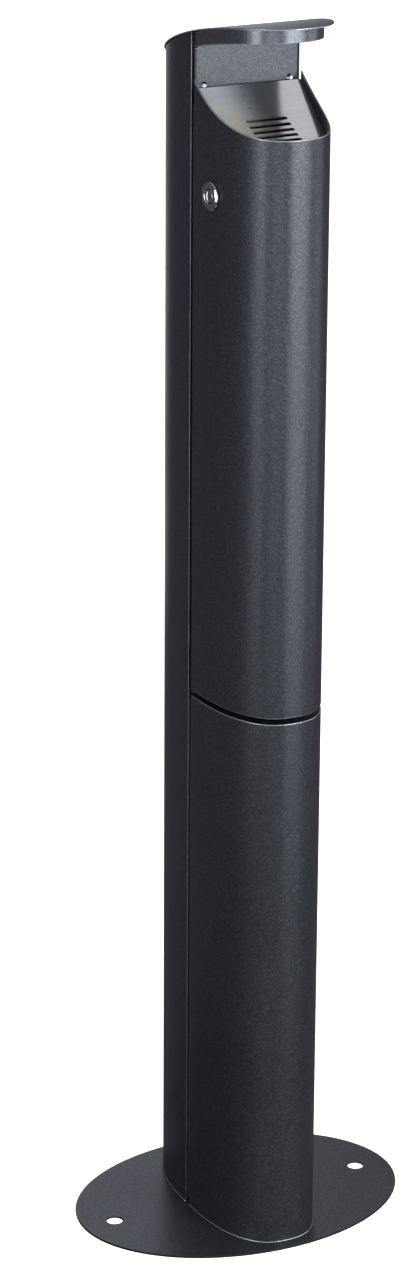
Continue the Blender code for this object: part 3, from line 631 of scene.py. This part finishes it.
def back_panel():
    low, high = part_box("back_panel")
    radius, steps = 0.0018, 8
    corner = []
    for step in range(steps + 1):
        angle = math.radians(180 + 90 * step / steps)
        corner.append((-high.x + radius + radius * math.cos(angle),
                       low.y + radius + radius * math.sin(angle)))
    outer = [(-high.x, high.y)] + corner
    outer += [(-x, y) for x, y in reversed(outer)]
    inner_corner = [(-high.x + SHEET, high.y), (-high.x + SHEET, low.y + SHEET + 0.0002),
                    (-high.x + SHEET + 0.0002, low.y + SHEET)]
    inner = inner_corner + [(-x, y) for x, y in reversed(inner_corner)]
    bm = prism_bm(outer + inner[::-1], low.z, high.z)
    tools = []
    # The skirt's ends pass through notches in the panel's upper corners
    notch_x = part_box("lid_skirt")[1].x - SHEET - 2 * GAP
    notch_z = lid_underside(high.y) - SKIRT_DROP - 2 * GAP
    for side in (-1, 1):
        xs = sorted((side * notch_x, side * 0.06))
        tools.append(prism_bm([(xs[0], -0.01), (xs[1], -0.01), (xs[1], 0.01), (xs[0], 0.01)], notch_z, 1.1))
    for name in ("panel_screw_left", "panel_screw_right"):
        centre = centre_of(name)
        tools.append(moved(cylinder_bm(0.0022, -0.02, 0.02, 32), facing(centre.x, 0, centre.z, 90)))
    bm = carve(bm, tools)
    round_edges(bm, PANEL_ROUNDING, segments=2, least_degrees=50)
    make_piece(bm, "back_panel", "column", "coat", "coat_edge_painted_light")


def dome_screw(name, body, radius, height, shank, length, turn, look="chrome"):
    """A low domed head on a plain shank; turn is 90 to face the front and -90 to face the rear."""
    low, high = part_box(name)
    seat_y = (low.y + height) if turn > 0 else (high.y - height)
    steps = 9
    profile = [(0, height)]
    for step in range(1, steps + 1):
        angle = math.pi / 2 * step / steps
        profile.append((radius * 0.94 * math.sin(angle), height * 0.16 + height * 0.84 * math.cos(angle)))
    profile += [(radius * 0.985, height * 0.12), (radius, height * 0.05), (radius * 0.98, 0), (shank, 0),
                (shank, -length + 0.0003), (shank - 0.0003, -length), (0, -length)]
    matrix = facing((low.x + high.x) / 2, seat_y, (low.z + high.z) / 2, turn)
    make_piece(turned_bm(profile, 48), name, body, look, matrix=matrix)


# ---------------------------------------------------------------- door


def lock_frame():
    """Its origin is on the door's outer face at the lock, Z points out of the door and Y points up."""
    x, y = section_point(section_angle(LOCK_Y, HALF_DEPTH), HALF_WIDTH, HALF_DEPTH)
    out = Vector((-(x / HALF_WIDTH) ** (SECTION_POWER - 1) / HALF_WIDTH,
                  -(-y / HALF_DEPTH) ** (SECTION_POWER - 1) / HALF_DEPTH, 0)).normalized()
    up = Vector((0, 0, 1))
    matrix = Matrix((up.cross(out), up, out)).transposed().to_4x4()
    matrix.translation = (-x, LOCK_Y, LOCK_Z)
    return matrix


def door_shell(lock_place):
    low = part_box("door_shell")[0].z
    bm = sheet_wall(half_section(FRONT_EDGE_Y), lambda y: low, mouth_edge)
    round_edges(bm, SEAM_ROUNDING)
    bore = moved(cylinder_bm(LOCK_BORE_RADIUS, -0.008, 0.008), lock_place)
    make_piece(carve(bm, [bore]), "door_shell", "door", "coat", "coat_edge_painted_light")


def ashtray_insert():
    low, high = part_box("ashtray_insert")
    inset = SHEET + GAP
    half_width, half_depth = HALF_WIDTH - inset, HALF_DEPTH - inset
    front, rear = INSERT_FRONT_Y, high.y
    steps = 90
    rows = []
    for step in range(steps + 1):
        y = front + (rear - front) * step / steps
        x = section_point(section_angle(y, half_depth), half_width, half_depth)[0]
        rows.append((y, insert_surface(y), x))
    front_lip = (front - 0.0004, low.z, rows[0][2] - 0.0006)
    rows = [front_lip] + rows + [(rear, INSERT_FLANGE_LOW_Z, rows[-1][2])]
    bm = bmesh.new()
    above = [[bm.verts.new((side * x, y, z)) for y, z, x in rows] for side in (1, -1)]
    strip(bm, *above)
    for face in bm.faces:
        face.normal_update()
    bmesh.ops.recalc_face_normals(bm, faces=bm.faces)
    high_up = [f for f in bm.faces if f.calc_center_median().z > INSERT_FLANGE_LOW_Z + 0.001]
    if max(high_up, key=lambda f: f.calc_area()).normal.z < 0:
        bmesh.ops.reverse_faces(bm, faces=bm.faces)
    bmesh.ops.solidify(bm, geom=bm.faces[:], thickness=INSERT_SHEET)
    tools = []
    for index in range(SLOT_COUNT):
        y = SLOT_FIRST_Y - index * SLOT_PITCH
        outline = []
        end_steps = 16
        for side in (1, -1):
            for step in range(end_steps + 1):
                angle = -math.pi / 2 + math.pi * step / end_steps
                outline.append((side * ((SLOT_LENGTH - SLOT_WIDTH) / 2 + SLOT_WIDTH / 2 * math.cos(angle)),
                                side * SLOT_WIDTH / 2 * math.sin(angle)))
        slope = math.asin((y - INSERT_ARC[0]) / INSERT_RADIUS)
        matrix = Matrix.Translation((0, y, insert_surface(y))) @ Matrix.Rotation(slope, 4, "X")
        tools.append(moved(prism_bm(outline, -0.004, 0.004), matrix))
    for name in ("insert_screw_left", "insert_screw_right"):
        centre = centre_of(name)
        tools.append(moved(cylinder_bm(0.0019, -0.006, 0.006, 32), facing(centre.x, rear, centre.z, 90)))
    bm = carve(bm, tools)
    round_edges(bm, SLOT_ROUNDING, least_degrees=50)
    make_piece(bm, "ashtray_insert", "door", "stainless", "stainless_edge")


def lock(place_at):
    """The barrel with its stepped face, and the plug with its key slot; profiles are (radius, height)."""
    bore, face, rim, stem = 0.0054, 0.0032, 0.0110, 0.0080
    body = [(bore, face - 0.0009), (bore + 0.0010, face), (0.0094, face), (rim, 0.0020), (rim, GAP),
            (stem, GAP), (stem, -0.0160), (bore, -0.0160)]
    body_bm = turned_bm(rounded(body, 0.00035), 96, closed=True)
    make_piece(body_bm, "lock_body", "door", "chrome", matrix=place_at)
    plug = rounded([(0, 0.0030), (0.0052, 0.0030), (0.0052, -0.0170), (0, -0.0170)], 0.0004)
    key_right = [(0.0006, -0.0033), (0.0006, -0.0012), (0.0011, -0.0009), (0.0011, 0.0006), (0.0006, 0.0009),
                 (0.0006, 0.0033)]
    key = prism_bm([(-0.0006, -0.0033)] + key_right + [(-0.0006, 0.0033)], 0.0005, 0.005)
    screw = cylinder_bm(0.0026, -0.030, -0.011, 24)
    make_piece(carve(turned_bm(plug, 64), [key, screw]), "lock_plug", "lock", "chrome", matrix=place_at)


# ---------------------------------------------------------------- bucket


def bucket():
    low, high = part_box("ash_bucket")
    middle_y, count, sheet, corner = -0.030, 40, 0.001, 0.0022
    front, rear, rear_power = middle_y - low.y, high.y - middle_y, 5.0
    turn = quarter_round(corner)
    lip = [(0.0, -0.0004), (0.00015, -0.0001), (0.0005, 0.0), (0.00085, -0.0001), (sheet, -0.0004)]
    levels = [(inset, low.z + rise) for inset, rise in turn]
    levels += [(inset, high.z + rise) for inset, rise in lip]
    levels += [(inset + sheet, low.z + sheet + rise * 0.8) for inset, rise in reversed(turn)]
    bm = bmesh.new()
    loops = []
    for inset, z in levels:
        ring = []
        for step in range(2 * count):
            angle = math.pi * step / count
            power, depth = (SECTION_POWER, front) if math.sin(angle) < 0 else (rear_power, rear)
            x, y = section_point(angle, high.x - inset, depth - inset, power)
            ring.append(bm.verts.new((x, middle_y + y, z)))
        loops.append(ring)
    for first, second in zip(loops, loops[1:]):
        loop_strip(bm, first, second)
    bm.faces.new(loops[0])
    bm.faces.new(loops[-1])
    across = Matrix.Translation(BUCKET_PIVOT) @ Matrix.Rotation(math.pi / 2, 4, "Y")
    pivot = moved(cylinder_bm(0.002, -0.05, 0.05, 24), across)
    make_piece(carve(bm, [pivot]), "ash_bucket", "bucket", "zinc")


def bucket_handle():
    """A half-round wire whose ends turn inwards through the bucket's walls."""
    reach, wire, rest = 0.0336, 0.0015, math.radians(42.0)
    bend, steps, sides = math.radians(4), 64, 20
    tip, knee = 0.027, reach - 0.0016
    path = [Vector((-tip, 0.0)), Vector((-knee, 0.0))]
    for step in range(steps + 1):
        angle = bend + (math.pi - 2 * bend) * step / steps
        path.append(Vector((-reach * math.cos(angle), reach * math.sin(angle))))
    path += [Vector((knee, 0.0)), Vector((tip, 0.0))]
    bm = bmesh.new()
    rings = []
    for index, point in enumerate(path):
        side = outward(path, index)
        ring = []
        for k in range(sides):
            angle = math.tau * k / sides
            flat = point + side * wire * math.cos(angle)
            ring.append(bm.verts.new((flat.x, flat.y, wire * math.sin(angle))))
        rings.append(ring)
    for first, second in zip(rings, rings[1:]):
        loop_strip(bm, first, second)
    bm.faces.new(rings[0])
    bm.faces.new(rings[-1])
    round_edges(bm, WIRE_ROUNDING, segments=2, least_degrees=60)
    cosine, sine = math.cos(rest), math.sin(rest)
    tilt = Matrix(((1, 0, 0), (0, -cosine, -sine), (0, sine, -cosine))).to_4x4()
    make_piece(moved(bm, Matrix.Translation(BUCKET_PIVOT) @ tilt), "bucket_handle", "handle", "plated")


# ---------------------------------------------------------------- pieces kept from the CAD


KEPT = {
    # The joint strips behind the slits take the lighter coat, painted light where they lie in shade
    "coat_edge_painted_light": ("joint_strip_left", "joint_strip_right"),
    "coat": ("column_foot", "mid_shelf", "shell_angle_left", "shell_angle_right", "panel_rail",
             "door_angle_left", "door_angle_right"),
    "zinc": ("door_floor", "bucket_guide_left", "bucket_guide_right", "door_crossbar", "lock_keeper"),
    "plated": ("foot_bolt_1", "foot_bolt_2", "foot_bolt_3", "foot_bolt_4", "keeper_rivet_1", "keeper_rivet_2",
               "hinge_frame_leaf_lower", "hinge_frame_leaf_upper", "hinge_pin_lower", "hinge_pin_upper",
               "hinge_door_leaf_lower", "hinge_door_leaf_upper", "lock_nut", "lock_cam", "cam_screw"),
    "rubber": ("door_buffer_lower", "door_buffer_upper"),
}


def keep_nodes():
    """CAD shapes that are right as they are: edges rounded by modifiers, and a full material."""
    for look, names in KEPT.items():
        for name in names:
            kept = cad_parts[name]
            kept.data.materials.clear()
            kept.data.materials.append(MATERIALS[look])
            weld = kept.modifiers.new("weld", "WELD")
            weld.merge_threshold = KEPT_WELD
            edge = kept.modifiers.new("edge", "BEVEL")
            edge.width = KEPT_ROUNDING
            edge.segments = 2
            edge.limit_method = "ANGLE"
            edge.angle_limit = math.radians(SHARP_DEGREES)
            weigh_normals(kept)


# ---------------------------------------------------------------- stage


def area_light(name, azimuth, distance, centre_z, width, height, radiance, colour=(1, 1, 1), aim_z=0.6):
    """A soft panel aimed at the column's axis; radiance is that of its face.

    Azimuth 0 is in front of the door, and it is positive to the viewer's right.
    """
    light = bpy.data.lights.new(name, "AREA")
    light.shape = "RECTANGLE"
    light.size, light.size_y = width, height
    light.energy = radiance * math.pi * width * height
    light.color = colour
    made = bpy.data.objects.new(name, light)
    angle = math.radians(azimuth)
    made.location = (distance * math.sin(angle), -distance * math.cos(angle), centre_z)
    made.rotation_euler = (Vector((0, 0, aim_z)) - made.location).to_track_quat("-Z", "Y").to_euler()
    made.visible_camera = False
    bpy.context.scene.collection.objects.link(made)
    return made


def disc(name, radius, segments, location, look):
    bm = bmesh.new()
    bmesh.ops.create_circle(bm, cap_ends=True, segments=segments, radius=radius)
    mesh = bpy.data.meshes.new(name)
    bm.to_mesh(mesh)
    bm.free()
    mesh.materials.append(look)
    made = bpy.data.objects.new(name, mesh)
    bpy.context.scene.collection.objects.link(made)
    made.location = location
    return made


def hide_from(made, *rays):
    for ray in rays:
        setattr(made, "visible_" + ray, False)


def stage():
    white = new_material("pale_floor", Base_Color=(0.93, 0.93, 0.93, 1), Roughness=0.9,
                         Emission_Color=(1, 1, 1, 1), Emission_Strength=1.0)[0]
    floor = disc("floor", 40, 96, (0, 0, -0.0002), white)
    hide_from(floor, "diffuse", "glossy", "shadow")

    sky = bpy.data.lights.new("overhead", "SUN")
    sky.energy = OVERHEAD_ENERGY
    sky.angle = math.radians(110)
    overhead = bpy.data.objects.new("overhead", sky)
    overhead.rotation_euler = (math.radians(4), math.radians(8), 0)
    bpy.context.scene.collection.objects.link(overhead)

    # Azimuth, distance, centre height, width, height, radiance, colour, height aimed at
    area_light("key_right", 20, 1.9, 0.85, 0.95, 1.9, 3.8, COOL, 0.85)
    area_light("key_top", 20, 1.85, 1.05, 0.95, 0.9, 3.6, COOL, 1.05)
    area_light("fill_front", -30, 2.4, 0.85, 1.6, 1.9, 1.7, COOL, 0.85)
    area_light("strip_left", -73, 1.6, 0.90, 0.55, 1.7, 2.0, COOL, 0.90)
    area_light("strip_top", -70, 1.55, 1.05, 0.45, 0.8, 5.0, COOL, 1.05)
    area_light("side_right", 66, 2.0, 0.90, 1.1, 1.9, 1.5, COOL, 0.90)
    area_light("rear", 164, 2.2, 0.65, 1.0, 1.8, 0.96, REAR_COOL)
    below = area_light("from_below", 0, 0.0, -1.0, 2.0, 2.0, 0.8)
    below.rotation_euler = (math.pi, 0, 0)

    # The left foot of the column faces a dark surface, seen only in reflections
    black = new_material("black_card", Base_Color=grey(0.01), Roughness=1.0)[0]
    card = disc("dark_card", 0.30, 48, (-0.38, 0.10, -0.0004), black)
    hide_from(card, "camera", "diffuse", "shadow")

    world = bpy.data.worlds.new("studio")
    bpy.context.scene.world = world
    world.use_nodes = True
    tree = world.node_tree
    # The camera sees plain white; the part is lit by a dim room
    dim = tree.nodes["Background"]
    dim.inputs["Color"].default_value = ROOM_COLOUR
    dim.inputs["Strength"].default_value = ROOM_STRENGTH
    bright = node(tree, "ShaderNodeBackground", {"Color": (1, 1, 1, 1), "Strength": 1.0})
    seen = node(tree, "ShaderNodeLightPath").outputs["Is Camera Ray"]
    mixed = node(tree, "ShaderNodeMixShader", {0: seen, 1: dim.outputs[0], 2: bright.outputs[0]})
    tree.links.new(mixed.outputs[0], tree.nodes["World Output"].inputs["Surface"])
    bpy.context.scene.view_settings.view_transform = "Standard"


def camera():
    """Fitted to the photographed outline; azimuth 0 looks along +Y."""
    level = math.cos(CAMERA_ELEVATION)
    forward = Vector((math.sin(CAMERA_AZIMUTH) * level, math.cos(CAMERA_AZIMUTH) * level,
                      -math.sin(CAMERA_ELEVATION)))
    right = forward.cross(Vector((0, 0, 1))).normalized()
    up = right.cross(forward)
    cosine, sine = math.cos(CAMERA_ROLL), math.sin(CAMERA_ROLL)
    right, up = right * cosine + up * sine, up * cosine - right * sine
    data = bpy.data.cameras.new("camera")
    data.lens = CAMERA_LENS
    data.sensor_width = CAMERA_SENSOR
    made = bpy.data.objects.new("camera", data)
    bpy.context.scene.collection.objects.link(made)
    turn = Matrix((right, up, -forward)).transposed().to_4x4()
    made.matrix_world = Matrix.Translation(CAMERA_AT) @ turn
    bpy.context.scene.camera = made


base_plate()
column_walls()
lid()
back_panel()
for screw_name in ("panel_screw_left", "panel_screw_right"):
    dome_screw(screw_name, "column", radius=0.0036, height=0.0021, shank=0.0019, length=0.009, turn=90,
               look="screw")
at_lock = lock_frame()
door_shell(at_lock)
ashtray_insert()
for screw_name in ("insert_screw_left", "insert_screw_right"):
    dome_screw(screw_name, "door", radius=0.0030, height=0.0013, shank=0.0016, length=0.005, turn=-90)
lock(at_lock)
bucket()
bucket_handle()
keep_nodes()
stage()
camera()
